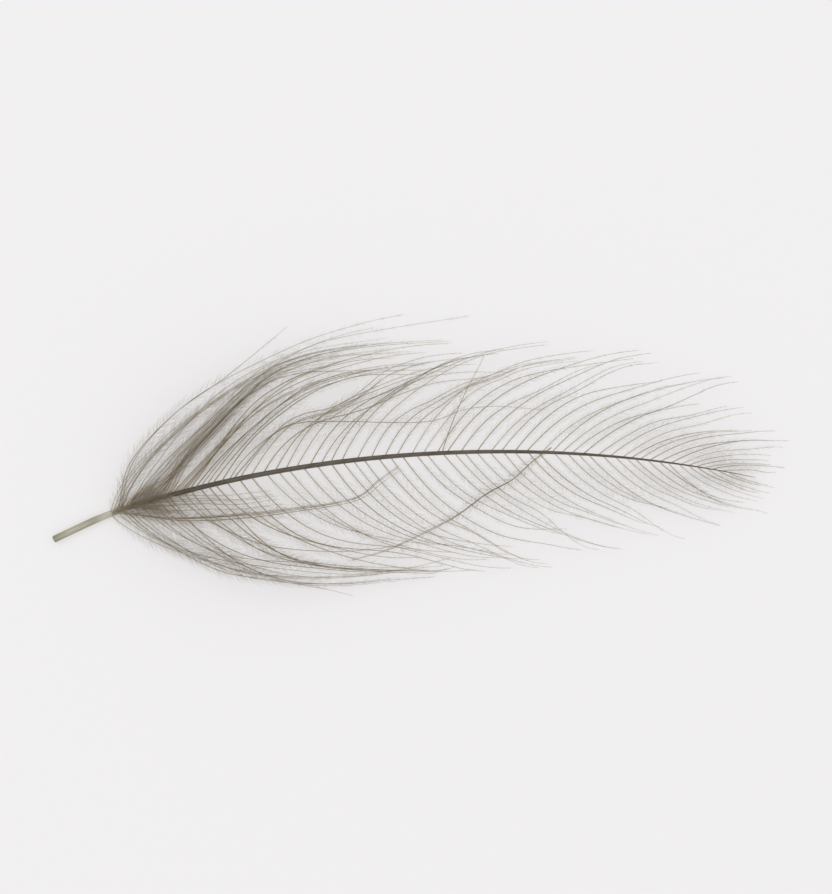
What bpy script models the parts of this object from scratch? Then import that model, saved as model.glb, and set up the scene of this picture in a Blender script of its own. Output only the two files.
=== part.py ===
"""A downy hackle feather, lying on a surface with its shaft arched over it.

The feather grew as one piece, so it is one solid: a tapered shaft whose bare quill end lies flat on
the surface, with locks of barbs fused to it on both sides.  Along +X it runs from quill to tip, +Y is
the side of the longer vane, and +Z is up.  The origin is under the middle of its bounding box.
"""

import math
import random

import bmesh
import bpy
from mathutils import Vector

MM = 0.001

# Shaft: a bare quill at one end, then the rachis that carries the locks
SHAFT_LENGTH = 45.0 * MM
BARE_QUILL = 3.8 * MM
QUILL_RADIUS = 0.22 * MM
RACHIS_RADIUS = 0.14 * MM
SHAFT_TIP_RADIUS = 0.05 * MM
QUILL_FADE = 3.2 * MM
SHAFT_SIDES = 8
SHAFT_STEPS = 26
FIRST_HEADING = math.radians(20.8)
BEND_PER_METRE = math.radians(720.0)
QUILL_KICK = math.radians(5.5)
KICK_START = 2.0 * MM
KICK_END = 6.0 * MM
FLAT_QUILL = 3.4 * MM
SHAFT_ARCH = 2.9 * MM
SHAFT_TIP_LIFT = 0.5 * MM

# Locks of barbs
LOCKS_A_SIDE = 28
LOCK_STEPS = 9
LOCK_HALF_WIDTH = 0.36 * MM
LOCK_HALF_THICKNESS = 0.11 * MM
LAST_ROOT = SHAFT_LENGTH - 1.6 * MM
LENGTH_SPREAD = 0.07
ANGLE_SPREAD = math.radians(2.0)
TOUCHING_EVERY = 4
TIP_HEIGHT = 0.55 * MM
LAYER_GAP = 0.28 * MM
SEED = 11

# Each row: place along the shaft in mm, length in mm, angle to the shaft in degrees where the lock
# leaves it and at its tip, how long it runs straight before it bends (1 is not at all),
# and how far it bulges above a plain droop, in mm
UPPER_VANE = (
    (3.8, 24.0, 57.0, -13.0, 1.0, 2.6),
    (5.1, 25.0, 50.0, -14.0, 1.1, 2.6),
    (6.0, 24.0, 33.0, -12.0, 2.0, 2.4),
    (8.1, 20.5, 31.0, -10.0, 2.0, 2.1),
    (10.3, 17.5, 39.0, -8.0, 1.6, 1.6),
    (15.0, 15.0, 52.0, -5.0, 1.3, 0.9),
    (20.5, 13.8, 60.0, -2.0, 1.2, 0.7),
    (28.0, 12.2, 54.0, 5.0, 1.3, 0.5),
    (35.0, 9.8, 44.0, 8.0, 1.3, 0.3),
    (40.0, 6.6, 34.0, 6.0, 1.2, 0.2),
    (43.4, 2.8, 17.0, 2.0, 1.0, 0.1),
)
LOWER_VANE = (
    (3.8, 20.0, 80.0, 15.0, 0.8, 2.2),
    (6.0, 19.0, 70.0, 10.0, 0.9, 2.1),
    (8.5, 17.0, 64.0, 7.0, 1.1, 1.7),
    (15.0, 14.0, 61.0, 7.0, 1.4, 0.9),
    (20.5, 13.0, 60.0, 7.0, 1.65, 0.7),
    (28.0, 11.2, 51.0, 9.0, 1.5, 0.5),
    (35.0, 9.0, 43.0, 10.0, 1.3, 0.3),
    (40.0, 6.2, 34.0, 6.0, 1.2, 0.2),
    (43.4, 2.8, 17.0, 2.0, 1.0, 0.1),
)

# Locks that left their place.  Each row: how high its middle is above a plain droop in mm, and its
# way in plan, in mm from the quill's end
STRAY_LOCKS = (
    (0.9, ((4.3, 1.7), (8.0, 1.4), (12.0, 1.5), (14.7, 1.8), (18.9, 2.5), (20.6, 3.7), (21.9, 4.6))),
    (0.8, ((31.2, 5.7), (30.0, 4.9), (28.8, 3.8), (27.2, 2.9), (25.3, 1.5), (23.2, 0.4), (21.2, -0.5))),
    (1.2, ((4.2, 1.9), (5.3, 5.2), (9.0, 8.9), (14.9, 12.0), (19.0, 13.4), (22.3, 14.2))),
)
STRAY_TAPER = 0.5

# Surface
BARB_COLOUR = (0.160, 0.145, 0.118, 1.0)
BARB_ROUGHNESS = 0.7


def smooth_step(low, high, value):
    """0 below low, 1 above high, and a smooth rise between them."""
    part = min(max((value - low) / (high - low), 0.0), 1.0)
    return part * part * (3.0 - 2.0 * part)


def between(rows, along):
    """The row of a vane table at a place along the shaft, read between the two rows next to it."""
    for low, high in zip(rows, rows[1:]):
        if along <= high[0] * MM:
            part = (along / MM - low[0]) / (high[0] - low[0])
            return [a + (b - a) * part for a, b in zip(low[1:], high[1:])]
    return list(rows[-1][1:])


def shaft_heading(along):
    """The shaft's direction in plan: a kink after the quill, then one long even bend."""
    kick = QUILL_KICK * (1.0 - smooth_step(KICK_START, KICK_END, along))
    return FIRST_HEADING - BEND_PER_METRE * along + kick


def shaft_radius(along):
    """The quill narrows quickly where the locks begin, and the rachis then slowly to its tip."""
    past_quill = max(along - BARE_QUILL + 1.0 * MM, 0.0)
    rachis = RACHIS_RADIUS + (SHAFT_TIP_RADIUS - RACHIS_RADIUS) * (along / SHAFT_LENGTH) ** 1.6
    return rachis + (QUILL_RADIUS - rachis) * math.exp(-((past_quill / QUILL_FADE) ** 1.5))


def shaft_height(along):
    """Height of the shaft's axis: flat on the surface at the quill, arched, and low at the tip."""
    flat = QUILL_RADIUS * math.cos(math.pi / SHAFT_SIDES)
    part = max((along - FLAT_QUILL) / (SHAFT_LENGTH - FLAT_QUILL), 0.0)
    arch = SHAFT_ARCH * max(math.sin(math.pi * min(part, 1.0)), 0.0) ** 1.3
    return flat + arch + SHAFT_TIP_LIFT * part * part


def walk(start, steps, step_length, heading_at):
    """Points in plan, one step apart, that follow a heading."""
    points = [start.copy()]
    for step in range(steps):
        heading = heading_at(step + 0.5)
        move = Vector((math.cos(heading), math.sin(heading), 0.0)) * step_length
        points.append(points[-1] + move)
    return points


def shaft_point(along):
    steps = 24
    step_length = along / steps
    plan = walk(Vector(), steps, step_length, lambda step: shaft_heading(step * step_length))[-1]
    plan.z = shaft_height(along)
    return plan


def lock_path(number, side, rows, rng):
    """The points of one lock and its taper at each of them."""
    offset = 0.25 if side > 0 else 0.75
    along = BARE_QUILL + (number + offset) / (LOCKS_A_SIDE - 0.25) * (LAST_ROOT - BARE_QUILL)
    length, root_angle, tip_angle, straight, bulge = between(rows, along)
    length *= MM * (1.0 + rng.uniform(-LENGTH_SPREAD, LENGTH_SPREAD))
    root_angle = math.radians(root_angle) + rng.uniform(-ANGLE_SPREAD, ANGLE_SPREAD)
    tip_angle = math.radians(tip_angle) + rng.uniform(-ANGLE_SPREAD, ANGLE_SPREAD)
    root = shaft_point(along)

    def heading(step):
        unbent = (1.0 - (step / LOCK_STEPS) ** straight) ** 2
        return shaft_heading(along) + side * (tip_angle + (root_angle - tip_angle) * unbent)

    points = walk(root, LOCK_STEPS, length / LOCK_STEPS, heading)
    touches = number % TOUCHING_EVERY == 0
    tip_height = lock_taper(1.0) * LOCK_HALF_THICKNESS + (0.0 if touches else TIP_HEIGHT)
    layer = LAYER_GAP * (number % 2)
    for step, point in enumerate(points):
        part = step / LOCK_STEPS
        left = 1.0 - part
        point.z = tip_height + (root.z - tip_height) * left**1.3
        point.z += (bulge * MM + layer) * 6.75 * part * left * left
    return points


def stray_path(bulge, way):
    """The points of a thin lock that left its place, and its taper at each of them."""
    root_height = shaft_height(way[0][0] * MM)
    points = []
    tapers = []
    for knot, (x, y) in enumerate(way):
        part = knot / (len(way) - 1)
        tapers.append(lock_taper(part) * STRAY_TAPER)
        height = LOCK_HALF_THICKNESS + (root_height - LOCK_HALF_THICKNESS) * (1.0 - part) ** 1.3
        height += bulge * MM * math.sin(math.pi * part)
        points.append(Vector((x * MM, y * MM, height)))
    return points, tapers


def lock_taper(part):
    """Width of a lock as a share of its widest, narrow at the root and coming to a point."""
    swell = smooth_step(-0.15, 0.35, part)
    fade = 1.0 - 0.86 * smooth_step(0.35, 1.0, part)
    return swell * fade


def profile_curve(name, corners, collection):
    """A closed flat outline for tubes to follow."""
    data = bpy.data.curves.new(name, "CURVE")
    data.dimensions = "2D"
    spline = data.splines.new("POLY")
    spline.points.add(len(corners) - 1)
    for point, (x, y) in zip(spline.points, corners):
        point.co = (x, y, 0.0, 1.0)
    spline.use_cyclic_u = True
    return add_guide(name, data, collection)


def add_guide(name, data, collection):
    guide = bpy.data.objects.new(name, data)
    guide.hide_render = True
    guide.display_type = "WIRE"
    collection.objects.link(guide)
    return guide


def tubes(name, profile, paths, collection):
    """Closed tubes along the paths, each a list of points and a list of their tapers."""
    data = bpy.data.curves.new(name, "CURVE")
    data.dimensions = "3D"
    data.twist_mode = "Z_UP"
    data.bevel_mode = "OBJECT"
    data.bevel_object = profile
    data.use_fill_caps = True
    for points, tapers in paths:
        spline = data.splines.new("POLY")
        spline.points.add(len(points) - 1)
        for knot, place, taper in zip(spline.points, points, tapers):
            knot.co = (*place, 1.0)
            knot.radius = taper
    return as_mesh(add_guide(name, data, collection), collection)


def as_mesh(curve, collection):
    """The curve object made a mesh object with its caps welded on."""
    graph = bpy.context.evaluated_depsgraph_get()
    mesh = bpy.data.meshes.new_from_object(curve.evaluated_get(graph))
    shell = bmesh.new()
    shell.from_mesh(mesh)
    bmesh.ops.remove_doubles(shell, verts=shell.verts, dist=0.000001)
    bmesh.ops.recalc_face_normals(shell, faces=shell.faces)
    shell.to_mesh(mesh)
    shell.free()
    name = curve.name
    place = curve.matrix_world.copy()
    bpy.data.objects.remove(curve)
    solid = add_guide(name, mesh, collection)
    solid.matrix_world = place
    return solid


def make_shaft(collection):
    turn = math.pi / SHAFT_SIDES
    corners = []
    for side in range(SHAFT_SIDES):
        angle = turn + side * 2.0 * turn
        corners.append((math.cos(angle), math.sin(angle)))
    profile = profile_curve("shaft_profile", corners, collection)
    distances = [SHAFT_LENGTH * step / SHAFT_STEPS for step in range(SHAFT_STEPS + 1)]
    points = [shaft_point(along) for along in distances]
    radii = [shaft_radius(along) for along in distances]
    return tubes("shaft", profile, [(points, radii)], collection)


def make_locks(collection):
    wide, thick = LOCK_HALF_WIDTH, LOCK_HALF_THICKNESS
    corners = [(wide, 0), (wide / 2, thick), (-wide / 2, thick)]
    corners += [(-x, -y) for x, y in corners]
    profile = profile_curve("lock_profile", corners, collection)
    tapers = [lock_taper(step / LOCK_STEPS) for step in range(LOCK_STEPS + 1)]
    rng = random.Random(SEED)
    paths = []
    for side, rows in ((1, UPPER_VANE), (-1, LOWER_VANE)):
        for number in range(LOCKS_A_SIDE):
            paths.append((lock_path(number, side, rows, rng), tapers))
    paths += [stray_path(bulge, way) for bulge, way in STRAY_LOCKS]
    return tubes("locks", profile, paths, collection)


def feather_material():
    material = bpy.data.materials.new("grey_brown_barbs")
    material.use_nodes = True
    shader = material.node_tree.nodes["Principled BSDF"]
    shader.inputs["Base Color"].default_value = BARB_COLOUR
    shader.inputs["Roughness"].default_value = BARB_ROUGHNESS
    shader.inputs["Metallic"].default_value = 0.0
    material.diffuse_color = BARB_COLOUR
    return material


def fuse(shaft, locks, collection):
    """The feather: the shaft with the locks joined to it, its origin under the middle of its box."""
    feather = bpy.data.objects.new("feather", shaft.data.copy())
    collection.objects.link(feather)
    union = feather.modifiers.new("join_locks", "BOOLEAN")
    union.operation = "UNION"
    union.solver = "EXACT"
    union.use_self = True
    union.object = locks
    graph = bpy.context.evaluated_depsgraph_get()
    corners = [vertex.co for vertex in feather.evaluated_get(graph).data.vertices]
    low = Vector([min(corner[axis] for corner in corners) for axis in range(3)])
    high = Vector([max(corner[axis] for corner in corners) for axis in range(3)])
    shift = Vector((-(low.x + high.x) / 2, -(low.y + high.y) / 2, -low.z))
    for solid in (feather, locks):
        for vertex in solid.data.vertices:
            vertex.co += shift
    feather.data.materials.append(feather_material())
    return feather


def main():
    for thing in list(bpy.data.objects):
        bpy.data.objects.remove(thing)
    parts = bpy.data.collections.new("hackle_feather")
    guides = bpy.data.collections.new("guides")
    for collection in (parts, guides):
        bpy.context.scene.collection.children.link(collection)
    fuse(make_shaft(guides), make_locks(guides), parts)


main()
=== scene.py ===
"""A downy hackle feather, seen from above on a pale floor.

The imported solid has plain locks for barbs.  Here the shaft is modelled again with its hollow quill end and
its groove, and the locks are replaced by single barbs, each with its own barbules.
"""

import math

import bmesh
import bpy
import numpy as np
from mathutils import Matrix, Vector


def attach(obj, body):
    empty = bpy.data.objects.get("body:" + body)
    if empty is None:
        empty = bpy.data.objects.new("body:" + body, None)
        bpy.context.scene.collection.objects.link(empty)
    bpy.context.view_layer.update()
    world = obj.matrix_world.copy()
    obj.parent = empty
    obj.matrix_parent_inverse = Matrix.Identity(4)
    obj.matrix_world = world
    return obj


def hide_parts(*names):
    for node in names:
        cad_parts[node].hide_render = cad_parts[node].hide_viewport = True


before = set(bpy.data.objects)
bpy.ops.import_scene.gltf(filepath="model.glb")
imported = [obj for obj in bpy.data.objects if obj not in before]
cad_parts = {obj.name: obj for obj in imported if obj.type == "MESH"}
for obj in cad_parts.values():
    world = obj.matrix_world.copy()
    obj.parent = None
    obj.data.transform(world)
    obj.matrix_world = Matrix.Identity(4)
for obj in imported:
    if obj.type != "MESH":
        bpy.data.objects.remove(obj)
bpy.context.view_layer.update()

MM = 0.001
SEED = 21

# The shaft's line, as in the solid, which is then moved to stand over the origin
SHAFT_LENGTH = 45.0 * MM
BARE_QUILL = 3.8 * MM
FIRST_HEADING = math.radians(20.8)
BEND_PER_METRE = math.radians(720.0)
QUILL_KICK = math.radians(5.5)
KICK_START = 2.0 * MM
KICK_END = 6.0 * MM
FLAT_QUILL = 3.4 * MM
SHAFT_ARCH = 2.9 * MM
ARCH_SHARPNESS = 1.3
SHAFT_TIP_LIFT = 0.5 * MM
FLOOR_GAP = 0.01 * MM
LINE_STEPS = 410

# The shaft's girth
QUILL_RADIUS = 0.22 * MM
RACHIS_RADIUS = 0.163 * MM
SHAFT_TIP_RADIUS = 0.012 * MM
RACHIS_TAPER = 2.6
QUILL_FADE_START = BARE_QUILL - 1.0 * MM
QUILL_FADE = 3.2 * MM
FADE_SHARPNESS = 1.5
SHAFT_SIDES = 16
QUILL_RINGS = 12
RACHIS_RINGS = 44

# The quill's cut end: a bore that widens towards its mouth, and a rim
BORE_RADIUS = 0.6 * QUILL_RADIUS
BORE_DEPTH = 1.6 * MM
BORE_FLARE = 1.12
RIM_RADIUS = 0.9 * QUILL_RADIUS
RIM_ROUNDING = 0.03 * MM
RIM_END = 0.4 * MM

# The groove under the rachis, as deep as this share of its radius.  It is pressed in twice, each time
# at some of a ring's lowest corners and by some share of its depth
GROOVE_START = 5.5 * MM
GROOVE_DEPTH = 0.5
GROOVE_PRESSES = ((1, 0.6), (3, 0.4))

# Each row: place along the shaft in mm, length in mm, angle to the shaft in degrees where the barb
# leaves it and at its tip, how long it runs straight before it bends (1 is not at all),
# and how far it bulges above a plain droop, in mm
UPPER_VANE = (
    (3.8, 18.0, 48.0, -9.0, 1.2, 2.6),
    (5.1, 18.5, 43.0, -5.0, 1.5, 2.6),
    (6.0, 18.0, 36.0, -5.0, 2.0, 2.4),
    (8.1, 18.5, 31.0, -9.0, 2.0, 2.1),
    (10.3, 17.5, 39.0, -8.0, 1.6, 1.6),
    (15.0, 15.0, 52.0, -5.0, 1.3, 0.9),
    (20.5, 13.8, 60.0, -2.0, 1.2, 0.7),
    (28.0, 12.2, 54.0, 5.0, 1.3, 0.5),
    (35.0, 9.8, 44.0, 8.0, 1.3, 0.3),
    (40.0, 6.6, 34.0, 6.0, 1.2, 0.2),
    (43.4, 2.8, 17.0, 2.0, 1.0, 0.1),
)
LOWER_VANE = (
    (3.8, 19.0, 60.0, 13.0, 0.9, 2.2),
    (6.0, 18.5, 62.0, 10.0, 1.0, 2.1),
    (8.5, 17.0, 64.0, 7.0, 1.1, 1.7),
    (15.0, 14.0, 61.0, 7.0, 1.4, 0.9),
    (20.5, 13.0, 60.0, 7.0, 1.65, 0.7),
    (28.0, 11.2, 51.0, 9.0, 1.5, 0.5),
    (35.0, 9.0, 43.0, 10.0, 1.3, 0.3),
    (40.0, 6.2, 34.0, 6.0, 1.2, 0.2),
    (43.4, 2.8, 17.0, 2.0, 1.0, 0.1),
)

# Each clump of barbs: where its first and last barb leave the shaft, in mm from the quill's end, how
# strongly they gather, and three shares of their length: where they begin to gather, where they have,
# and where they begin to part again.  Then the line they lean on: the barb of that place, turned by
# some degrees, or else the places that they pass, in mm
UPPER_CLUMPS = (
    (3.8, 4.7, 0.60, 0.00, 0.35, 0.70, (
        (4.6, 2.3), (6.0, 4.3), (8.0, 6.5), (10.4, 8.6), (12.3, 10.1), (14.8, 11.5), (18.1, 12.4),
        (22.0, 13.0), (27.0, 13.4),
    )),
    (4.7, 7.9, 0.98, 0.00, 0.20, 0.48, (
        (5.3, 2.5), (6.4, 3.3), (7.4, 4.1), (8.5, 5.3), (9.6, 6.4), (10.8, 7.7), (12.1, 9.1),
        (13.7, 10.6), (16.2, 11.8), (19.4, 12.6), (23.0, 13.1), (27.0, 13.3),
    )),
    (7.9, 9.2, 0.60, 0.05, 0.50, 0.80, (
        (6.8, 2.8), (8.4, 4.7), (10.0, 6.3), (12.0, 8.3), (13.6, 9.6), (15.4, 10.7), (17.8, 11.6),
        (20.4, 12.3), (23.7, 12.9), (27.0, 13.2),
    )),
    (9.2, 11.6, 0.60, 0.10, 0.55, 0.70, (
        (9.6, 3.6), (11.0, 5.0), (12.2, 6.2), (13.4, 7.4), (14.6, 8.5), (16.0, 9.5), (17.5, 10.1),
        (20.0, 10.7), (23.0, 11.2), (27.0, 11.5),
    )),
    (11.6, 13.4, 0.90, 0.05, 0.45, 0.90, (
        (12.2, 3.9), (13.5, 5.6), (14.7, 6.9), (16.1, 7.6), (17.6, 8.0), (18.7, 8.5), (19.9, 9.4),
        (21.0, 10.3), (22.4, 10.9), (24.0, 11.3), (26.6, 11.5), (29.9, 11.2),
    )),
    (13.4, 16.6, 1.00, 0.05, 0.48, 0.85, (
        (14.0, 4.3), (15.4, 5.8), (16.9, 7.1), (18.7, 8.1), (20.5, 8.9), (21.9, 9.5), (23.6, 10.1),
        (25.7, 10.4), (28.0, 10.4), (31.0, 10.2),
    )),
    (16.6, 18.6, 0.75, 0.40, 0.85, 0.90, 17.4, -4.0),
    (18.6, 20.8, 0.90, 0.30, 0.75, 0.95, 19.2, -5.0),
    (20.8, 24.2, 0.85, 0.12, 0.55, 0.85, (
        (22.9, 5.4), (23.5, 6.9), (24.7, 8.0), (25.9, 9.2), (28.0, 10.0), (29.8, 10.8), (33.0, 11.4),
    )),
    (24.2, 27.0, 0.65, 0.45, 0.90, 0.95, 26.0, -3.0),
    (27.0, 29.0, 0.80, 0.42, 0.87, 0.95, 27.8, 3.0),
    (29.0, 31.6, 0.60, 0.48, 0.93, 0.95, 30.6, -2.0),
    (31.6, 34.0, 0.65, 0.50, 0.95, 0.95, 32.6, 3.0),
    (34.0, 36.6, 0.50, 0.50, 0.95, 0.95, 35.6, -2.0),
)
LOWER_CLUMPS = (
    (3.8, 5.8, 0.92, 0.05, 0.50, 0.95, (
        (4.6, 1.8), (5.9, 0.7), (7.2, -0.2), (9.6, -1.4), (12.2, -2.3), (15.6, -2.8), (18.7, -2.8),
        (22.0, -2.5),
    )),
    (5.8, 8.2, 1.00, 0.05, 0.45, 0.95, (
        (6.3, 2.3), (7.6, 0.9), (9.9, -0.6), (12.4, -1.7), (15.0, -2.5), (18.0, -2.7), (21.0, -2.5),
        (24.0, -2.3),
    )),
    (8.2, 10.6, 0.95, 0.12, 0.50, 0.85, (
        (9.0, 3.0), (10.0, 1.4), (11.6, -0.2), (13.3, -1.0), (16.0, -1.5), (19.0, -1.9), (24.0, -2.2),
    )),
    (10.6, 12.2, 0.55, 0.45, 0.90, 0.90, 10.8, 3.0),
    (12.2, 14.6, 0.45, 0.50, 0.95, 0.95, 13.6, -4.0),
    (14.6, 17.2, 0.70, 0.55, 0.95, 0.95, 15.8, 3.0),
    (17.2, 19.6, 0.65, 0.55, 0.95, 0.95, 18.8, -3.0),
    (19.6, 22.4, 0.80, 0.52, 0.95, 0.95, 20.8, 3.0),
    (22.4, 24.8, 0.60, 0.55, 0.95, 0.95, 24.0, -2.0),
    (24.8, 27.2, 0.75, 0.52, 0.95, 0.95, 25.8, 3.0),
    (27.2, 30.0, 0.60, 0.55, 0.95, 0.95, 29.0, -3.0),
    (30.0, 32.6, 0.65, 0.55, 0.95, 0.95, 31.0, 2.0),
    (32.6, 35.6, 0.50, 0.58, 0.95, 0.95, 34.6, -2.0),
)

# How far a clump's barbs stay beside the line they lean on, for each height that they lie above it
UPPER_CLUMP_SPREAD = 2.4
LOWER_CLUMP_SPREAD = 0.7

# The pull of a clump on its barbs, as shares of its own strength: on most of them, and on loose ones.
# Past where they part it falls off by a share of itself, and it moves a barb's height less than its way
PULL = (0.6, 1.15)
LOOSE_PULL = (0.0, 0.3)
PULL_LOST = 0.8
PARTING_STRETCH = 0.6
HEIGHT_PULL = 0.4

# The heights of a line that a clump leans on
GUIDE_TIP_HEIGHT = 0.3 * MM
GUIDE_ROOT_RISE = 1.188 * MM
GUIDE_BULGE = 1.76 * MM

# Barbs that left their place.  Each row: how many lie together, how high their middle is above a
# plain droop and how far they stray from each other, and their way in plan, all in mm
STRAY_BARBS = (
    (4, 0.9, 0.07, (
        (4.3, 1.7), (8.0, 1.3), (12.0, 1.5), (14.7, 1.8), (18.9, 2.5), (20.6, 3.7), (21.9, 4.6),
    )),
    (5, 0.8, 0.34, (
        (4.9, 2.1), (6.2, 2.2), (8.0, 2.3), (9.6, 2.4), (11.3, 2.4), (12.6, 2.5), (14.0, 2.6),
    )),
    (2, 0.8, 0.05, (
        (31.2, 5.8), (30.0, 4.9), (28.8, 3.8), (27.2, 2.9), (25.3, 1.5), (23.2, 0.4), (21.0, -0.6),
        (18.6, -1.3),
    )),
    (1, 0.5, 0.0, ((4.4, 1.9), (6.8, 0.0), (10.5, -1.9), (14.0, -2.5), (17.0, -3.1), (18.9, -3.7))),
    (1, 1.4, 0.0, ((4.2, 1.9), (5.3, 5.2), (9.0, 8.9), (14.9, 12.0), (19.0, 13.4), (22.3, 14.2))),
    (1, 1.2, 0.0, ((4.1, 1.9), (4.9, 4.8), (7.6, 7.8), (10.8, 10.1), (13.1, 12.0), (14.7, 13.4))),
    (1, 1.3, 0.0, (
        (4.8, 2.2), (7.0, 4.8), (9.6, 7.2), (12.8, 10.1), (16.0, 12.0), (19.4, 12.9), (26.5, 14.1),
    )),
    (1, 0.9, 0.0, (
        (11.4, 3.8), (12.6, 5.2), (13.8, 6.5), (15.4, 7.3), (18.2, 7.4), (21.0, 7.3), (23.8, 7.4),
        (25.7, 8.1), (28.0, 8.4), (31.3, 8.2),
    )),
    (1, 0.6, 0.0, ((24.4, 5.4), (25.0, 7.2), (25.9, 9.2), (26.7, 10.7), (27.0, 11.5))),
)

# Each further strand of such a bundle lies this much higher, in mm.  The strands part from their way
# over its first stretch, and sway about it
STRAND_RISE = 0.12
STRAND_PARTING = (0.0, 0.3)
SWAY = 0.10 * MM
SWAY_WAVES = (4.0, 9.0)
SWAY_PHASES = (0.0, 6.0)
STRAY_STATION = 0.1

# Where barbs leave the shaft: close together at the base, widest in the middle
FIRST_ROOT = 3.9 * MM
LAST_ROOT = SHAFT_LENGTH - 1.6 * MM
BARB_GAP = 0.80 * MM
UPPER_BASE_GAP = 0.19 * MM
LOWER_BASE_GAP = 0.41 * MM
TIP_BARB_GAP = 0.56 * MM
GAP_SPREAD = 0.25
BASE_END = 7.2 * MM
WIDE_GAPS_FROM = 14.0 * MM
WIDE_GAPS_TO = 32.0 * MM
TIP_GAPS_FROM = 42.0 * MM

# A barb's shape: its girth, which flares at its root, is less at the base of the vane and falls off
# towards the tip of the barb and of the feather
BARB_POINTS = 40
BARB_SIDES = 5
BARB_HALF_WIDTH = 0.029 * MM
BARB_HALF_HEIGHT = 0.038 * MM
ROOT_FLARE = 0.5
ROOT_FLARE_LENGTH = 0.03
BARB_TAPER = 0.72
BARB_TAPER_SHARPNESS = 1.4
BASE_GIRTH = 0.58
BASE_GIRTH_FADE = (0.02, 0.16)
GIRTH_LOST_AT_TIP = 0.3
DROOP_SHARPNESS = 1.3
LOWEST = 0.06 * MM

# How barbs differ from each other
GIRTH_SPREAD = 0.25
LENGTH_SPREAD = 0.15
ANGLE_SPREAD = math.radians(1.3)
WANDER = math.radians(5.0)
WAVES = (1.8, 5.0)
LOOSE_SHARE = 0.10
LOOSE_SPREAD = math.radians(5.0)
LOOSE_WANDER = math.radians(12.0)
HIGHEST_TIP = 1.1 * MM
LAYER_SPREAD = 0.15 * MM
LAYER_LIMIT = 0.25 * MM

# Short curled barbs round the shaft where the vanes begin.  Pairs are the least and the most: lengths
# and tip rises as shares of a length, openings from the shaft in degrees, and bulges in mm
DOWN_BARBS = 58
DOWN_FIRST = 4.0 * MM
DOWN_LAST = 7.0 * MM
DOWN_LENGTH = 2.8 * MM
DOWN_LENGTHS = (0.5, 1.35)
DOWN_OPENINGS = (2.0, 46.0)
DOWN_CLOSING = 0.6
DOWN_CURL = math.radians(20.0)
DOWN_WAVES = (2.0, 6.0)
DOWN_PHASES = (0.0, 6.0)
DOWN_ROOT_RISE = 0.7
DOWN_BULGES = (0.2, 0.7)
DOWN_BULGE_SHARPNESS = 0.7
DOWN_TIP_RISES = (0.0, 0.25)
DOWN_STATION = 0.02

# Barbules.  They are longer and stand further apart at the base of the vanes, grow near a barb's root
# and shorten towards its tip, and lean further ahead from root to tip.  Leans are in degrees from the
# barb, and rolls round it in radians
BARBULE_GAP = 0.072 * MM
BASE_BARBULE_GAP = 0.0828 * MM
BARBULE_GAP_FADE = (0.05, 0.4)
BARBULE_LENGTH = 0.5525 * MM
BASE_BARBULE_LENGTH = 0.8925 * MM
BARBULE_LENGTH_FADE = (0.03, 0.5)
BARBULE_GROWTH = (-0.05, 0.15)
BARBULE_TIP_LENGTH = 0.2
BARBULE_SHORTENING = (0.3, 1.0)
BARBULE_LENGTHS = (0.6, 1.25)
BARBULE_HALF_WIDTH = 0.0042 * MM
BARBULE_SIDES = 3
BARBULE_TAPER = (1.0, 0.9, 0.6, 0.2)
BARBULE_LEANS = (52.0, 36.0, 24.0)
BARBULE_LEAN_SPREAD = 7.0
BARBULE_ROLL = 0.25
BARBULE_ROLL_SPREAD = 0.55
BARBULES_END = 0.985
BARBULES_LOST_AT_TIP = 0.7
BARBULES_THINNING = (0.2, 0.8)
BARBULES_A_PIECE = 12000

# Each piece's own map: u runs along a barb, and v is the place of the barb along the shaft.
# The places take up most of the map, and each tube a strip from its place on
MAP = "OFBake"
MAP_SHARE = 0.985
BARB_STRIPS = 0.6
BARBULE_STRIP = (0.012, 0.01)

# Colours, 0 to 255 as on a paint chart
VANE_DARK = (123, 109, 79)
VANE_PALE = (156, 140, 107)
DOWN_DARK = (160, 147, 123)
DOWN_PALE = (188, 174, 151)
BARB_ROOT = (171, 155, 124)
BARB_TIP = (165, 149, 120)
QUILL_DARK = (140, 137, 115)
QUILL_PALE = (180, 176, 155)
QUILL_CUT = (106, 103, 76)
QUILL_BELOW_VANES = (196, 191, 175)
RACHIS_DARK = (64, 56, 43)
RACHIS_PALE = (88, 79, 63)

# A barb's tone, which changes from barb to barb more than along one.  Then its tints: how strong each is,
# and where it fades in or out, in shares of the barb's length or of the vane's
TONES_ACROSS_VANE = 61.0
TONES_ALONG_BARB = 0.7
TONE_CONTRAST = (0.3, 0.7)
ROOT_TINT = 0.6
ROOT_TINT_FADE = (0.02, 0.22)
TIP_TINT = 0.5
TIP_TINT_RISE = (0.82, 1.0)
BASE_TINT = 0.35
BASE_TINT_FADE = (0.0, 0.16)

# The shaft's streaks, so many a metre, and its tints from the quill's end on
STREAKS_ALONG = 500.0
STREAKS_ACROSS = 5000.0
QUILL_CONTRAST = (0.35, 0.68)
RACHIS_CONTRAST = (0.3, 0.7)
STREAK_HEIGHT = 0.02 * MM
STREAK_RELIEF = 0.3
SMOOTHEST = 0.34
STREAK_ROUGHNESS = 0.2
CUT_TINT = 0.45
CUT_TINT_FADE = (0.0, 0.7 * MM)
PALE_TINT = 0.55
PALE_TINT_RISE = (2.6 * MM, 3.8 * MM)
RACHIS_RISE = (5.0 * MM, 9.0 * MM)

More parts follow.
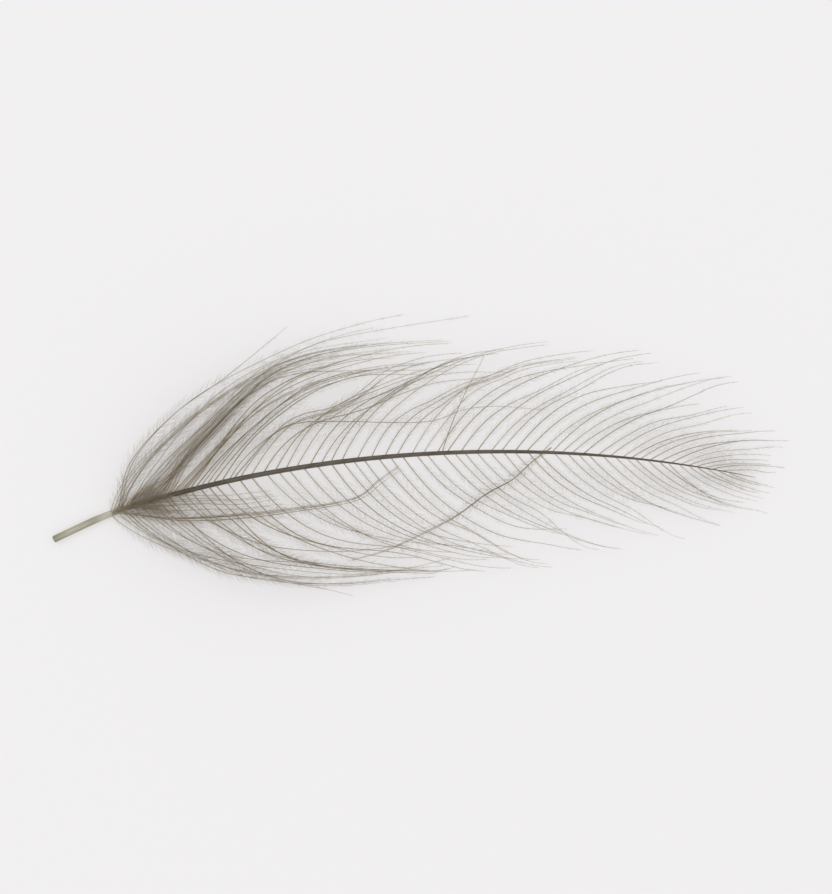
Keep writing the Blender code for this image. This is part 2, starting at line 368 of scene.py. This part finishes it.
# Floor, light and camera, in metres and watts
FLOOR_SIZE = 6.0
FLOOR_COLOUR = (0.45, 0.445, 0.447, 1.0)
FLOOR_GLOW_COLOUR = (1.0, 0.985, 0.99, 1.0)
FLOOR_GLOW = 0.42
SKY_COLOUR = (1.0, 0.996, 1.0, 1.0)
SKY_STRENGTH = 0.95
LAMP_PLACE = (-0.25, 0.3, 0.5)
LAMP_POWER = 0.45
LAMP_SIZE = 0.4
VIEW_WIDTH = 52.5 * MM
VIEW_SHAPE = 894 / 832
LENS = 90.0
SENSOR = 36.0
NEAREST_SEEN = 0.01

rng = np.random.default_rng(SEED)


def smooth_step(low, high, value):
    """0 below low, 1 above high, and a smooth rise between them."""
    part = np.clip((value - low) / (high - low), 0.0, 1.0)
    return part * part * (3.0 - 2.0 * part)


def fade(first, last, limits, place):
    """A value that goes smoothly from the first to the last one between two places."""
    return first + (last - first) * smooth_step(*limits, place)


def between(rows, along):
    """The values of a vane table at a place along the shaft, read between its rows."""
    table = np.array(rows)
    return [np.interp(along / MM, table[:, 0], column) for column in table[:, 1:].T]


def walk(headings, step):
    """Points in plan, one step apart, that follow the headings."""
    moves = np.stack([np.cos(headings), np.sin(headings)], -1) * step
    return np.concatenate([np.zeros((1, 2)), np.cumsum(moves, 0)])


def smooth_way(knots, count):
    """Evenly shared points on a smooth curve through the knots."""
    knots = np.array(knots)
    padded = np.vstack([2 * knots[0] - knots[1], knots, 2 * knots[-1] - knots[-2]])
    just_short_of_the_last = len(knots) - 1.000001
    points = []
    for at in np.linspace(0.0, just_short_of_the_last, count):
        knot = int(at)
        t = at - knot
        a, b, c, d = padded[knot : knot + 4]
        straight = 2 * b + (c - a) * t
        curved = (2 * a - 5 * b + 4 * c - d) * t**2 + (3 * b - a - 3 * c + d) * t**3
        points.append(0.5 * (straight + curved))
    return np.array(points)


def shaft_heading(along):
    kick = QUILL_KICK * (1.0 - smooth_step(KICK_START, KICK_END, along))
    return FIRST_HEADING - BEND_PER_METRE * along + kick


LINE_STEP = SHAFT_LENGTH / LINE_STEPS
LINE_ALONG = np.arange(LINE_STEPS + 1) * LINE_STEP
LINE = walk(shaft_heading((np.arange(LINE_STEPS) + 0.5) * LINE_STEP), LINE_STEP)


def shaft_height(along):
    """Height of the shaft's axis: flat on the surface at the quill, arched, and low at the tip."""
    flat = QUILL_RADIUS + FLOOR_GAP
    part = np.maximum((along - FLAT_QUILL) / (SHAFT_LENGTH - FLAT_QUILL), 0.0)
    arch = SHAFT_ARCH * np.sin(math.pi * np.minimum(part, 1.0)).clip(0) ** ARCH_SHARPNESS
    return flat + arch + SHAFT_TIP_LIFT * part * part


def shaft_points(along):
    """Places on the shaft's axis at the given distances from the quill's end."""
    along = np.atleast_1d(along)
    line = [np.interp(along, LINE_ALONG, axis) for axis in LINE.T]
    return np.stack([*line, shaft_height(along)], -1)


def shaft_radius(along):
    """The quill narrows quickly where the barbs begin, and the rachis then slowly to a hair."""
    faded = np.maximum(along - QUILL_FADE_START, 0.0) / QUILL_FADE
    rachis = RACHIS_RADIUS + (SHAFT_TIP_RADIUS - RACHIS_RADIUS) * (along / SHAFT_LENGTH) ** RACHIS_TAPER
    return rachis + (QUILL_RADIUS - rachis) * np.exp(-(faded**FADE_SHARPNESS))


def quill_end():
    """Where the middle of the quill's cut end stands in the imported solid, in plan."""
    places = np.array([vertex.co for vertex in bpy.data.objects["feather"].data.vertices])
    near = places[places[:, 0] < places[:, 0].min() + QUILL_RADIUS]
    return (near.min(0) + near.max(0))[:2] / 2


PLACE = np.array([*quill_end(), 0.0])


class Signal:
    """A socket in a material's node tree, so that maths on it is written as a Python expression."""

    def __init__(self, finish, socket):
        self.finish = finish
        self.socket = socket

    def maths(self, operation, *values):
        return self.finish.node("ShaderNodeMath", {"operation": operation}, *values)

    def __add__(self, other):
        return self.maths("ADD", self, other)

    def __sub__(self, other):
        return self.maths("SUBTRACT", self, other)

    def __rsub__(self, other):
        return self.maths("SUBTRACT", other, self)

    def __mul__(self, other):
        return self.maths("MULTIPLY", self, other)

    __radd__ = __add__
    __rmul__ = __mul__

    def rise(self, low, high):
        """0 below low, 1 above high, and smooth between them."""
        settings = {"interpolation_type": "SMOOTHSTEP"}
        return self.finish.node("ShaderNodeMapRange", settings, self, low, high, 0.0, 1.0)


class Finish:
    """A material with a Principled shader, and one method that adds any other node to it."""

    def __init__(self, name, roughness, **constants):
        self.material = bpy.data.materials.new(name)
        self.material.use_nodes = True
        self.tree = self.material.node_tree
        self.shader = self.tree.nodes["Principled BSDF"]
        self.shader.inputs["Roughness"].default_value = roughness
        for socket, value in constants.items():
            self.shader.inputs[socket.replace("_", " ")].default_value = value

    def supply(self, socket, value):
        """Gives a node's socket a link, or a plain value."""
        if isinstance(value, Signal):
            self.tree.links.new(value.socket, socket)
        else:
            socket.default_value = value

    def node(self, kind, settings, *values, output=0, **named):
        """A new node's output.  Values go to its sockets in order, and named ones by name."""
        node = self.tree.nodes.new(kind)
        for setting, value in settings.items():
            setattr(node, setting, value)
        for socket, value in zip(node.inputs, values):
            self.supply(socket, value)
        for name, value in named.items():
            self.supply(node.inputs[name], value)
        return Signal(self, node.outputs[output])

    def parts(self, vector):
        """The X, Y and Z of a vector."""
        first = self.node("ShaderNodeSeparateXYZ", {}, vector)
        return [Signal(self, socket) for socket in first.socket.node.outputs]

    def own_map(self):
        """The u and v of the piece's own map."""
        return self.parts(self.node("ShaderNodeUVMap", {"uv_map": MAP}))[:2]

    def mix(self, share, first, second):
        """A blend of two colours."""
        node = self.tree.nodes.new("ShaderNodeMix")
        node.data_type = "RGBA"
        share_socket, first_socket, second_socket = (node.inputs[number] for number in (0, 6, 7))
        self.supply(share_socket, share)
        self.supply(first_socket, first)
        self.supply(second_socket, second)
        return Signal(self, node.outputs[2])

    def feed(self, socket, signal):
        """Links a signal to the shader."""
        self.supply(self.shader.inputs[socket], signal)


def shade(colour):
    """A colour given as on a paint chart, for a node's socket."""
    parts = [level / 255 for level in colour]
    linear = [p / 12.92 if p <= 0.04045 else ((p + 0.055) / 1.055) ** 2.4 for p in parts]
    return (*linear, 1.0)


def barb_finish(name, dark, pale):
    """Dusty grey-brown keratin: paler at the shaft and at the tip, each barb with a tone of its own."""
    finish = Finish(name, 0.62, Specular_IOR_Level=0.35, Sheen_Weight=0.15)
    along, station = finish.own_map()
    across, lengthways = station * TONES_ACROSS_VANE, along * TONES_ALONG_BARB
    own = finish.node("ShaderNodeCombineXYZ", {}, across, lengthways, 0.0)
    tone = finish.node("ShaderNodeTexNoise", {"noise_dimensions": "2D"}, Vector=own, Scale=1.0, Detail=2.0)
    near_shaft = 1.0 - along.rise(*ROOT_TINT_FADE)
    near_tip = along.rise(*TIP_TINT_RISE)
    at_base = 1.0 - station.rise(*BASE_TINT_FADE)
    colour = finish.mix(tone.rise(*TONE_CONTRAST), shade(dark), shade(pale))
    colour = finish.mix(near_shaft * ROOT_TINT, colour, shade(BARB_ROOT))
    colour = finish.mix(near_tip * TIP_TINT, colour, shade(BARB_TIP))
    colour = finish.mix(at_base * BASE_TINT, colour, shade(dark))
    finish.feed("Base Color", colour)
    return finish.material


def shaft_finish():
    """A waxy olive-beige quill that turns dark grey-brown where the barbs begin."""
    finish = Finish("shaft", 0.42, Specular_IOR_Level=0.5, Coat_Weight=0.15)
    place = finish.node("ShaderNodeTexCoord", {}, output=3)
    from_end = finish.node(
        "ShaderNodeMapping",
        {"vector_type": "TEXTURE"},
        place,
        Location=tuple(PLACE),
        Rotation=(0.0, 0.0, FIRST_HEADING + QUILL_KICK),
    )
    along, aside, above = finish.parts(from_end)
    stretched = finish.node(
        "ShaderNodeCombineXYZ", {}, along * STREAKS_ALONG, aside * STREAKS_ACROSS, above * STREAKS_ACROSS
    )
    streaks = finish.node("ShaderNodeTexNoise", {}, Vector=stretched, Scale=1.0, Detail=4.0)
    past_quill = along.rise(*RACHIS_RISE)
    cut_end = 1.0 - along.rise(*CUT_TINT_FADE)
    below_vanes = along.rise(*PALE_TINT_RISE)
    quill = finish.mix(streaks.rise(*QUILL_CONTRAST), shade(QUILL_DARK), shade(QUILL_PALE))
    quill = finish.mix(cut_end * CUT_TINT, quill, shade(QUILL_CUT))
    quill = finish.mix(below_vanes * PALE_TINT, quill, shade(QUILL_BELOW_VANES))
    rachis = finish.mix(streaks.rise(*RACHIS_CONTRAST), shade(RACHIS_DARK), shade(RACHIS_PALE))
    finish.feed("Base Color", finish.mix(past_quill, quill, rachis))
    finish.feed("Roughness", streaks * STREAK_ROUGHNESS + SMOOTHEST)
    bump = finish.node(
        "ShaderNodeBump", {}, Strength=STREAK_RELIEF, Distance=STREAK_HEIGHT, Height=streaks
    )
    finish.feed("Normal", bump)
    return finish.material


def deselect():
    bpy.ops.object.select_all(action="DESELECT")


def belongs(piece):
    """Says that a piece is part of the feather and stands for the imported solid."""
    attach(piece, "root")
    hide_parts("feather")


def unit(vectors, least=0.0):
    """The vectors at length 1, apart from any that are shorter than the least."""
    return vectors / np.linalg.norm(vectors, axis=-1, keepdims=True).clip(least)


def level_aside(ahead):
    """Level directions to the right of the ones ahead."""
    return np.stack([ahead[..., 1], -ahead[..., 0], np.zeros_like(ahead[..., 0])], -1)


def counted(*sizes):
    """All combinations of whole numbers below the given sizes, as one flat array for each size."""
    return [part.ravel() for part in np.indices(sizes)]


def tube_rings(lines, half_width, half_height, sides):
    """The corners of some tubes: rings round each line, and after them one point at the end of each."""
    rings = lines.shape[1] - 1
    ahead = unit(np.gradient(lines, axis=1))
    aside = unit(level_aside(ahead), 1e-9)
    above = np.cross(aside, ahead)
    turn = 2 * math.pi * (np.arange(sides) + 0.5) / sides
    spread = aside[:, :rings, None] * (half_width[:, :rings, None] * np.cos(turn))[..., None]
    spread = spread + above[:, :rings, None] * (half_height[:, :rings, None] * np.sin(turn))[..., None]
    return np.concatenate([(lines[:, :rings, None] + spread).reshape(-1, 3), lines[:, -1]])


def tube_triangles(count, rings, sides):
    """The triangles of some tubes.  Each has three corners, and each corner its tube, ring and side."""
    tube, ring, side = counted(count, rings - 1, sides)
    wall = ((ring, side), (ring + 1, side), (ring + 1, side + 1))
    other_wall = ((ring, side), (ring + 1, side + 1), (ring, side + 1))
    end_tube, end_side = counted(count, sides)
    last = np.full_like(end_tube, rings - 1)
    point = ((last, end_side), (last + 1, end_side), (last, end_side + 1))
    cap_tube, cap_side = counted(count, sides - 2)
    first = np.zeros_like(cap_tube)
    cap = ((first, first), (first, cap_side + 1), (first, cap_side + 2))
    triangles = []
    for owner, corners in ((tube, wall), (tube, other_wall), (end_tube, point), (cap_tube, cap)):
        triangles.append(np.stack([np.stack([owner, *corner], -1) for corner in corners], 1))
    return np.concatenate(triangles)


def tapered_tubes(name, lines, half_width, half_height, sides, along, row, row_height, material):
    """Closed round tubes that come to a point, all in one piece.

    lines holds each tube's points, half_width and half_height its radii at them.  On the tube's map u is
    along at each point, and v is its row plus up to row_height round its girth.
    """
    count = len(lines)
    rings = lines.shape[1] - 1
    places = tube_rings(lines, half_width, half_height, sides)
    tube, ring, side = tube_triangles(count, rings, sides).reshape(-1, 3).T
    on_ring = (tube * rings + ring) * sides + side % sides
    corners = np.where(ring == rings, count * rings * sides + tube, on_ring)
    uv = np.stack([along[tube, ring], row[tube] + row_height * side / sides], 1)

    mesh = bpy.data.meshes.new(name)
    mesh.vertices.add(len(places))
    mesh.vertices.foreach_set("co", places.astype(np.float32).ravel())
    mesh.loops.add(len(corners))
    mesh.loops.foreach_set("vertex_index", corners.astype(np.int32))
    mesh.polygons.add(len(corners) // 3)
    mesh.polygons.foreach_set("loop_start", np.arange(0, len(corners), 3, dtype=np.int32))
    mesh.update(calc_edges=True)
    mesh.uv_layers.new(name=MAP).data.foreach_set("uv", uv.astype(np.float32).ravel())
    mesh.shade_smooth()
    mesh.materials.append(material)
    piece = bpy.data.objects.new(name, mesh)
    bpy.context.scene.collection.objects.link(piece)
    belongs(piece)


def barb_roots(base_gap):
    """Where one vane's barbs leave the shaft: close together at its base, and again near its tip."""
    roots = []
    along = FIRST_ROOT
    while along < LAST_ROOT:
        roots.append(along)
        gap = BARB_GAP
        gap += (base_gap - BARB_GAP) * (1.0 - smooth_step(BASE_END, WIDE_GAPS_FROM, along))
        gap += (TIP_BARB_GAP - BARB_GAP) * smooth_step(WIDE_GAPS_TO, TIP_GAPS_FROM, along)
        along += gap * rng.uniform(1.0 - GAP_SPREAD, 1.0 + GAP_SPREAD)
    return np.array(roots)


def station_of(along):
    """A barb's place, 0 where the vanes begin and 1 at the last barb."""
    return (along - BARE_QUILL) / (LAST_ROOT - BARE_QUILL)


def droop(root_height, tip_height, part):
    """Heights along a barb that sinks from its root to its tip."""
    return tip_height + (root_height - tip_height) * (1.0 - part) ** DROOP_SHARPNESS


def early_bulge(part):
    """A rise and fall along a barb: 0 at both ends, and 1 at a third of the way."""
    return 6.75 * part * (1.0 - part) ** 2


def barb_line(along, side, rows, shape):
    """One barb before it gathers with its neighbours.  shape holds its own small departures."""
    length, root_angle, tip_angle, straight, bulge = between(rows, along)
    length = length * MM * shape["longer"]
    steps = BARB_POINTS - 1
    part = (np.arange(steps) + 0.5) / steps
    unbent = (1.0 - part**straight) ** 2
    root_angle = math.radians(root_angle) + shape["turned"]
    tip_angle = math.radians(tip_angle)
    headings = shaft_heading(along) + side * (tip_angle + (root_angle - tip_angle) * unbent)
    headings = headings + shape["wander"] * part * np.sin(shape["waves"] * part * math.pi + shape["phase"])
    root = shaft_points(along)[0]
    plan = walk(headings, length / steps) + root[:2]
    part = np.linspace(0.0, 1.0, BARB_POINTS)
    height = droop(root[2], shape["tip_height"], part)
    height += (bulge * MM + shape["layer"]) * early_bulge(part)
    return np.column_stack([plan, height])


def guide_shape(turned):
    """The shape of a plain long barb, for a clump to lean on."""
    return {
        "longer": 1.3,
        "turned": math.radians(turned),
        "wander": 0.0,
        "waves": 1.0,
        "phase": 0.0,
        "tip_height": GUIDE_TIP_HEIGHT,
        "layer": 0.0,
    }


def random_shape():
    """One barb's own departures: loose barbs turn and wander more than others."""
    loose = rng.uniform(0.0, 1.0) < LOOSE_SHARE
    return {
        "loose": loose,
        "longer": 1.0 + rng.uniform(-LENGTH_SPREAD, LENGTH_SPREAD),
        "turned": rng.normal(0.0, LOOSE_SPREAD if loose else ANGLE_SPREAD),
        "wander": rng.normal(0.0, LOOSE_WANDER if loose else WANDER),
        "waves": rng.uniform(*WAVES),
        "phase": rng.uniform(0.0, 2.0 * math.pi),
        "tip_height": LOWEST + HIGHEST_TIP * rng.uniform(0.0, 1.0) ** 2,
        "layer": float(np.clip(rng.normal(0.0, LAYER_SPREAD), -LAYER_LIMIT, LAYER_LIMIT)),
    }


def clump_line(side, rows, place, turned=0.0):
    """The line that a clump leans on: a plain barb that leaves the shaft there, or a way of its own."""
    if not isinstance(place, tuple):
        return barb_line(place * MM, side, rows, guide_shape(turned))
    way = smooth_way(place, 3 * BARB_POINTS) * MM
    part = np.linspace(0.0, 1.0, len(way))
    height = GUIDE_TIP_HEIGHT + GUIDE_ROOT_RISE * (1.0 - part) ** 2 + GUIDE_BULGE * early_bulge(part)
    return np.column_stack([way, height])


def gather(line, guide, aside, pull, start, full, parting):
    """The barb drawn sideways to a line beside the one that its clump leans on, and let go at its tip."""
    across = unit(np.gradient(guide[:, :2], axis=0)[:, ::-1] * (-1.0, 1.0))
    guide = guide + aside * np.column_stack([across, np.zeros(len(guide))])
    apart = np.linalg.norm(line[:, None, :2] - guide[None, :, :2], axis=2)
    nearest = guide[apart.argmin(1)]
    part = np.linspace(0.0, 1.0, len(line))[:, None]
    held = 1.0 - PULL_LOST * smooth_step(parting, parting + PARTING_STRETCH, part)
    share = pull * smooth_step(start, full, part) * held
    return line + (nearest - line) * share * np.array([1.0, 1.0, HEIGHT_PULL])


def vane_barbs(side, rows, clumps, base_gap, spread):
    """All barbs of one vane, and each barb's station."""
    roots = barb_roots(base_gap)
    guides = [clump_line(side, rows, *clump[6:]) for clump in clumps]
    lines = []
    for along in roots:
        shape = random_shape()
        line = barb_line(along, side, rows, shape)
        for (first, last, pull, start, full, parting, *_), guide in zip(clumps, guides):
            if first * MM <= along < last * MM:
                pull = pull * rng.uniform(*(LOOSE_PULL if shape["loose"] else PULL))
                line = gather(line, guide, spread * shape["layer"], pull, start, full, parting)
        line[:, 2] = np.maximum(line[:, 2], LOWEST)
        lines.append(line)
    return np.array(lines) + PLACE, station_of(roots)


def stray_barbs():
    """The barbs that left their place, each a few strands side by side, and their stations."""
    part = np.linspace(0.0, 1.0, BARB_POINTS)
    shaft_line = shaft_points(LINE_ALONG)
    lines = []
    for strands, bulge, apart, knots in STRAY_BARBS:
        way = smooth_way(knots, BARB_POINTS) * MM
        root_height = np.interp(way[0, 0], shaft_line[:, 0], shaft_line[:, 2])
        for strand in range(strands):
            sway = SWAY * np.sin(part * rng.uniform(*SWAY_WAVES) + rng.uniform(*SWAY_PHASES)) * part
            aside = rng.normal(0.0, apart, 2) * MM * smooth_step(*STRAND_PARTING, part)[:, None]
            plan = way + sway[:, None] + aside
            height = droop(root_height, LOWEST, part)
            height += (bulge + STRAND_RISE * strand) * MM * np.sin(math.pi * part)
            lines.append(np.column_stack([plan, height]))
    return np.array(lines) + PLACE, np.full(len(lines), STRAY_STATION)


def down_barbs():
    """Short curled barbs that wrap the shaft where the vanes begin, and their stations."""
    lines = []
    part = np.linspace(0.0, 1.0, BARB_POINTS)
    middle = (part[1:] + part[:-1]) / 2
    for number in range(DOWN_BARBS):
        along = rng.uniform(DOWN_FIRST, DOWN_LAST)
        side = 1.0 if number % 2 else -1.0
        length = DOWN_LENGTH * rng.uniform(*DOWN_LENGTHS)
        opening = math.radians(rng.uniform(*DOWN_OPENINGS))
        curl = rng.normal(0.0, DOWN_CURL)
        wave = rng.uniform(*DOWN_WAVES)
        headings = shaft_heading(along) + side * opening * (1.0 - DOWN_CLOSING * middle)
        headings = headings + curl * middle * np.sin(wave * middle + rng.uniform(*DOWN_PHASES))
        root = shaft_points(along)[0]
        plan = walk(headings, length / (BARB_POINTS - 1)) + root[:2]
        bulge = rng.uniform(*DOWN_BULGES) * MM
        height = root[2] + shaft_radius(along) * DOWN_ROOT_RISE
        height = height + bulge * np.sin(math.pi * part**DOWN_BULGE_SHARPNESS)
        height += rng.uniform(*DOWN_TIP_RISES) * length * part
        lines.append(np.column_stack([plan, np.maximum(height, LOWEST)]))
    return np.array(lines) + PLACE, np.full(len(lines), DOWN_STATION)


def barbs_piece(name, lines, stations, material):
    """The barbs themselves, thin tubes without their barbules."""
    part = np.linspace(0.0, 1.0, BARB_POINTS)
    flare = 1.0 + ROOT_FLARE * np.exp(-part / ROOT_FLARE_LENGTH)
    taper = flare * (1.0 - BARB_TAPER * part**BARB_TAPER_SHARPNESS)
    girth = rng.uniform(1.0 - GIRTH_SPREAD, 1.0 + GIRTH_SPREAD, len(lines))
    from_base = fade(BASE_GIRTH, 1.0, BASE_GIRTH_FADE, stations)
    slim = taper[None] * (girth * (from_base - GIRTH_LOST_AT_TIP * stations))[:, None]
    along = np.tile(part, (len(lines), 1))
    row = stations * MAP_SHARE
    row_height = BARB_STRIPS / len(lines)
    half_width = BARB_HALF_WIDTH * slim
    half_height = BARB_HALF_HEIGHT * slim
    tapered_tubes(name, lines, half_width, half_height, BARB_SIDES, along, row, row_height, material)


def barbule_length(station, part):
    """Barbules are longest at the base of the vanes, and short at a barb's root and towards its tip."""
    length = fade(BASE_BARBULE_LENGTH, BARBULE_LENGTH, BARBULE_LENGTH_FADE, station)
    shortened = fade(1.0, BARBULE_TIP_LENGTH, BARBULE_SHORTENING, part)
    return length * smooth_step(*BARBULE_GROWTH, part) * shortened


def barbule_lines(lines, stations):
    """Curved barbules on both sides of the barbs: their points, place along the barb and station."""
    found, alongs, owners = [], [], []
    for line, station in zip(lines, stations):
        steps = np.linalg.norm(np.diff(line, axis=0), axis=1)
        distance = np.concatenate([[0.0], np.cumsum(steps)])
        gap = fade(BASE_BARBULE_GAP, BARBULE_GAP, BARBULE_GAP_FADE, station)
        count = int(distance[-1] * BARBULES_END / gap)
        at = (np.arange(count) + rng.uniform(0.0, 1.0, count)) * gap
        part = at / distance[-1]
        lost = BARBULES_LOST_AT_TIP * smooth_step(*BARBULES_THINNING, part)
        kept = rng.uniform(0.0, 1.0, count) > lost
        at, part, count = at[kept], part[kept], int(kept.sum())
        place = np.stack([np.interp(at, distance, axis) for axis in line.T], 1)
        ahead = unit(np.stack([np.interp(at, distance, axis) for axis in np.gradient(line, axis=0).T], 1))
        aside = unit(level_aside(ahead))
        above = np.cross(aside, ahead)
        length = barbule_length(station, part)
        for hand in (-1.0, 1.0):
            step = (length * rng.uniform(*BARBULE_LENGTHS, count))[:, None] / len(BARBULE_LEANS)
            roll = rng.normal(BARBULE_ROLL, BARBULE_ROLL_SPREAD, count)[:, None]
            outwards = aside * hand * np.cos(roll) + above * np.sin(roll)
            points = [place]
            for lean in BARBULE_LEANS:
                angle = np.radians(lean + rng.normal(0.0, BARBULE_LEAN_SPREAD, count))[:, None]
                points.append(points[-1] + (ahead * np.cos(angle) + outwards * np.sin(angle)) * step)
            found.append(np.stack(points, 1))
            alongs.append(part)
            owners.append(np.full(count, station))
    found, alongs, owners = [np.concatenate(part) for part in (found, alongs, owners)]
    found[..., 2] = np.maximum(found[..., 2], LOWEST / 2)
    return found, alongs, owners


def barbule_pieces(name, lines, stations, material):
    """The barbules of some barbs, in as many pieces as their number needs."""
    found, alongs, owners = barbule_lines(lines, stations)
    pieces = math.ceil(len(found) / BARBULES_A_PIECE)
    strip_length, strip_height = BARBULE_STRIP
    along_strip = np.linspace(0.0, strip_length, len(BARBULE_TAPER))
    for number, chosen in enumerate(np.array_split(np.arange(len(found)), pieces), 1):
        half = np.tile(BARBULE_HALF_WIDTH * np.array(BARBULE_TAPER), (len(chosen), 1))
        along = alongs[chosen, None] * MAP_SHARE + along_strip
        row = owners[chosen] * MAP_SHARE
        piece_name = f"{name}_{number}"
        tapered_tubes(
            piece_name, found[chosen], half, half, BARBULE_SIDES, along, row, strip_height, material
        )


def make_vanes():
    vane_finish = barb_finish("barbs", VANE_DARK, VANE_PALE)
    down_finish = barb_finish("down", DOWN_DARK, DOWN_PALE)
    vanes = (
        ("upper", 1.0, UPPER_VANE, UPPER_CLUMPS, UPPER_BASE_GAP, UPPER_CLUMP_SPREAD),
        ("lower", -1.0, LOWER_VANE, LOWER_CLUMPS, LOWER_BASE_GAP, LOWER_CLUMP_SPREAD),
    )
    for name, side, rows, clumps, base_gap, spread in vanes:
        lines, stations = vane_barbs(side, rows, clumps, base_gap, spread)
        barbs_piece(f"{name}_barbs", lines, stations, vane_finish)
        barbule_pieces(f"{name}_barbules", lines, stations, vane_finish)
    others = (("stray", stray_barbs(), vane_finish), ("down", down_barbs(), down_finish))
    for name, (lines, stations), material in others:
        barbs_piece(f"{name}_barbs", lines, stations, material)
        barbule_pieces(f"{name}_barbules", lines, stations, material)


def shaft_place(along):
    return Vector(shaft_points(along)[0] + PLACE)


def add_bore_floor():
    """The floor of the quill's bore, a disc across the shaft, as the start of the shaft's shell."""
    deselect()
    bpy.ops.mesh.primitive_circle_add(
        vertices=SHAFT_SIDES,
        radius=BORE_RADIUS,
        fill_type="NGON",
        location=shaft_place(BORE_DEPTH),
        rotation=(0.0, math.pi / 2, shaft_heading(BORE_DEPTH)),
    )
    bpy.ops.object.transform_apply(location=True, rotation=True, scale=True)
    bpy.ops.object.mode_set(mode="EDIT")
    bpy.ops.mesh.select_mode(type="FACE")
    bpy.ops.mesh.select_all(action="SELECT")


def draw_out(start, end, growth):
    """The selected ring drawn from one place on the shaft to another, turned and resized there."""
    place = shaft_place(end)
    bpy.ops.mesh.extrude_region_move(TRANSFORM_OT_translate={"value": place - shaft_place(start)})
    turn = float(shaft_heading(end) - shaft_heading(start))
    if turn:
        bpy.ops.transform.rotate(value=-turn, orient_axis="Z", center_override=place)
    bpy.ops.transform.resize(value=(growth, growth, growth), center_override=place)


def select_corners(chosen):
    shell = bmesh.from_edit_mesh(bpy.context.object.data)
    shell.verts.ensure_lookup_table()
    for index in chosen:
        shell.verts[index].select = True
    shell.select_flush(True)
    bmesh.update_edit_mesh(bpy.context.object.data)


def press_groove(depth):
    """The underside of the selected ring pushed up, deepest in the middle, and the ring selected again."""
    shell = bmesh.from_edit_mesh(bpy.context.object.data)
    lowest_first = sorted((vertex.co.z, vertex.index) for vertex in shell.verts if vertex.select)
    ring = [index for _, index in lowest_first]
    bpy.ops.mesh.select_mode(type="VERT")
    for corners, share in GROOVE_PRESSES:
        bpy.ops.mesh.select_all(action="DESELECT")
        select_corners(ring[:corners])
        bpy.ops.transform.translate(value=(0.0, 0.0, depth * share))
    bpy.ops.mesh.select_all(action="DESELECT")
    select_corners(ring)
    bpy.ops.mesh.select_mode(type="FACE")


def make_shaft():
    """The hollow cut quill, from the floor of its bore round its rim, and then the rachis to its tip."""
    add_bore_floor()
    draw_out(BORE_DEPTH, 0.0, BORE_FLARE)
    draw_out(0.0, 0.0, RIM_RADIUS / (BORE_RADIUS * BORE_FLARE))
    places = [RIM_ROUNDING]
    places += list(np.linspace(RIM_END, GROOVE_START, QUILL_RINGS))
    places += list(np.linspace(GROOVE_START, SHAFT_LENGTH, RACHIS_RINGS + 1)[1:])
    radius = RIM_RADIUS
    start = 0.0
    for end in places:
        draw_out(start, end, shaft_radius(end) / radius)
        radius = shaft_radius(end)
        start = end
        if end == GROOVE_START:
            press_groove(radius * GROOVE_DEPTH)
    bpy.ops.mesh.select_all(action="SELECT")
    bpy.ops.mesh.normals_make_consistent(inside=False)
    bpy.ops.object.mode_set(mode="OBJECT")
    bpy.ops.object.shade_smooth_by_angle(angle=math.radians(50.0))
    shaft = bpy.context.object
    shaft.name = "shaft"
    shaft.data.materials.append(shaft_finish())
    belongs(shaft)


def make_floor():
    """A wide pale floor that glows a little, so that it shows as plain near-white."""
    deselect()
    bpy.ops.mesh.primitive_plane_add(size=FLOOR_SIZE)
    floor = bpy.context.object
    floor.name = "floor"
    finish = Finish(
        "pale_floor",
        0.9,
        Specular_IOR_Level=0.1,
        Base_Color=FLOOR_COLOUR,
        Emission_Color=FLOOR_GLOW_COLOUR,
        Emission_Strength=FLOOR_GLOW,
    )
    floor.data.materials.append(finish.material)


def make_light():
    """An even pale sky, and one soft lamp from the upper left."""
    world = bpy.data.worlds.new("studio")
    world.use_nodes = True
    sky = world.node_tree.nodes["Background"]
    sky.inputs["Color"].default_value = SKY_COLOUR
    sky.inputs["Strength"].default_value = SKY_STRENGTH
    bpy.context.scene.world = world
    bpy.ops.object.light_add(type="AREA", location=LAMP_PLACE)
    lamp = bpy.context.object
    lamp.name = "soft_box"
    lamp.data.energy = LAMP_POWER
    lamp.data.shape = "DISK"
    lamp.data.size = LAMP_SIZE
    lamp.rotation_euler = Vector(LAMP_PLACE).to_track_quat("Z", "Y").to_euler()


def make_camera():
    """Looks straight down, as the photograph does."""
    height = VIEW_WIDTH * VIEW_SHAPE * LENS / SENSOR
    bpy.ops.object.camera_add(location=(0.0, 0.0, height), rotation=(0.0, 0.0, 0.0))
    camera = bpy.context.object
    camera.data.lens = LENS
    camera.data.sensor_width = SENSOR
    camera.data.clip_start = NEAREST_SEEN
    bpy.context.scene.camera = camera


make_shaft()
make_vanes()
make_floor()
make_light()
make_camera()
bpy.context.scene.view_settings.view_transform = "Standard"
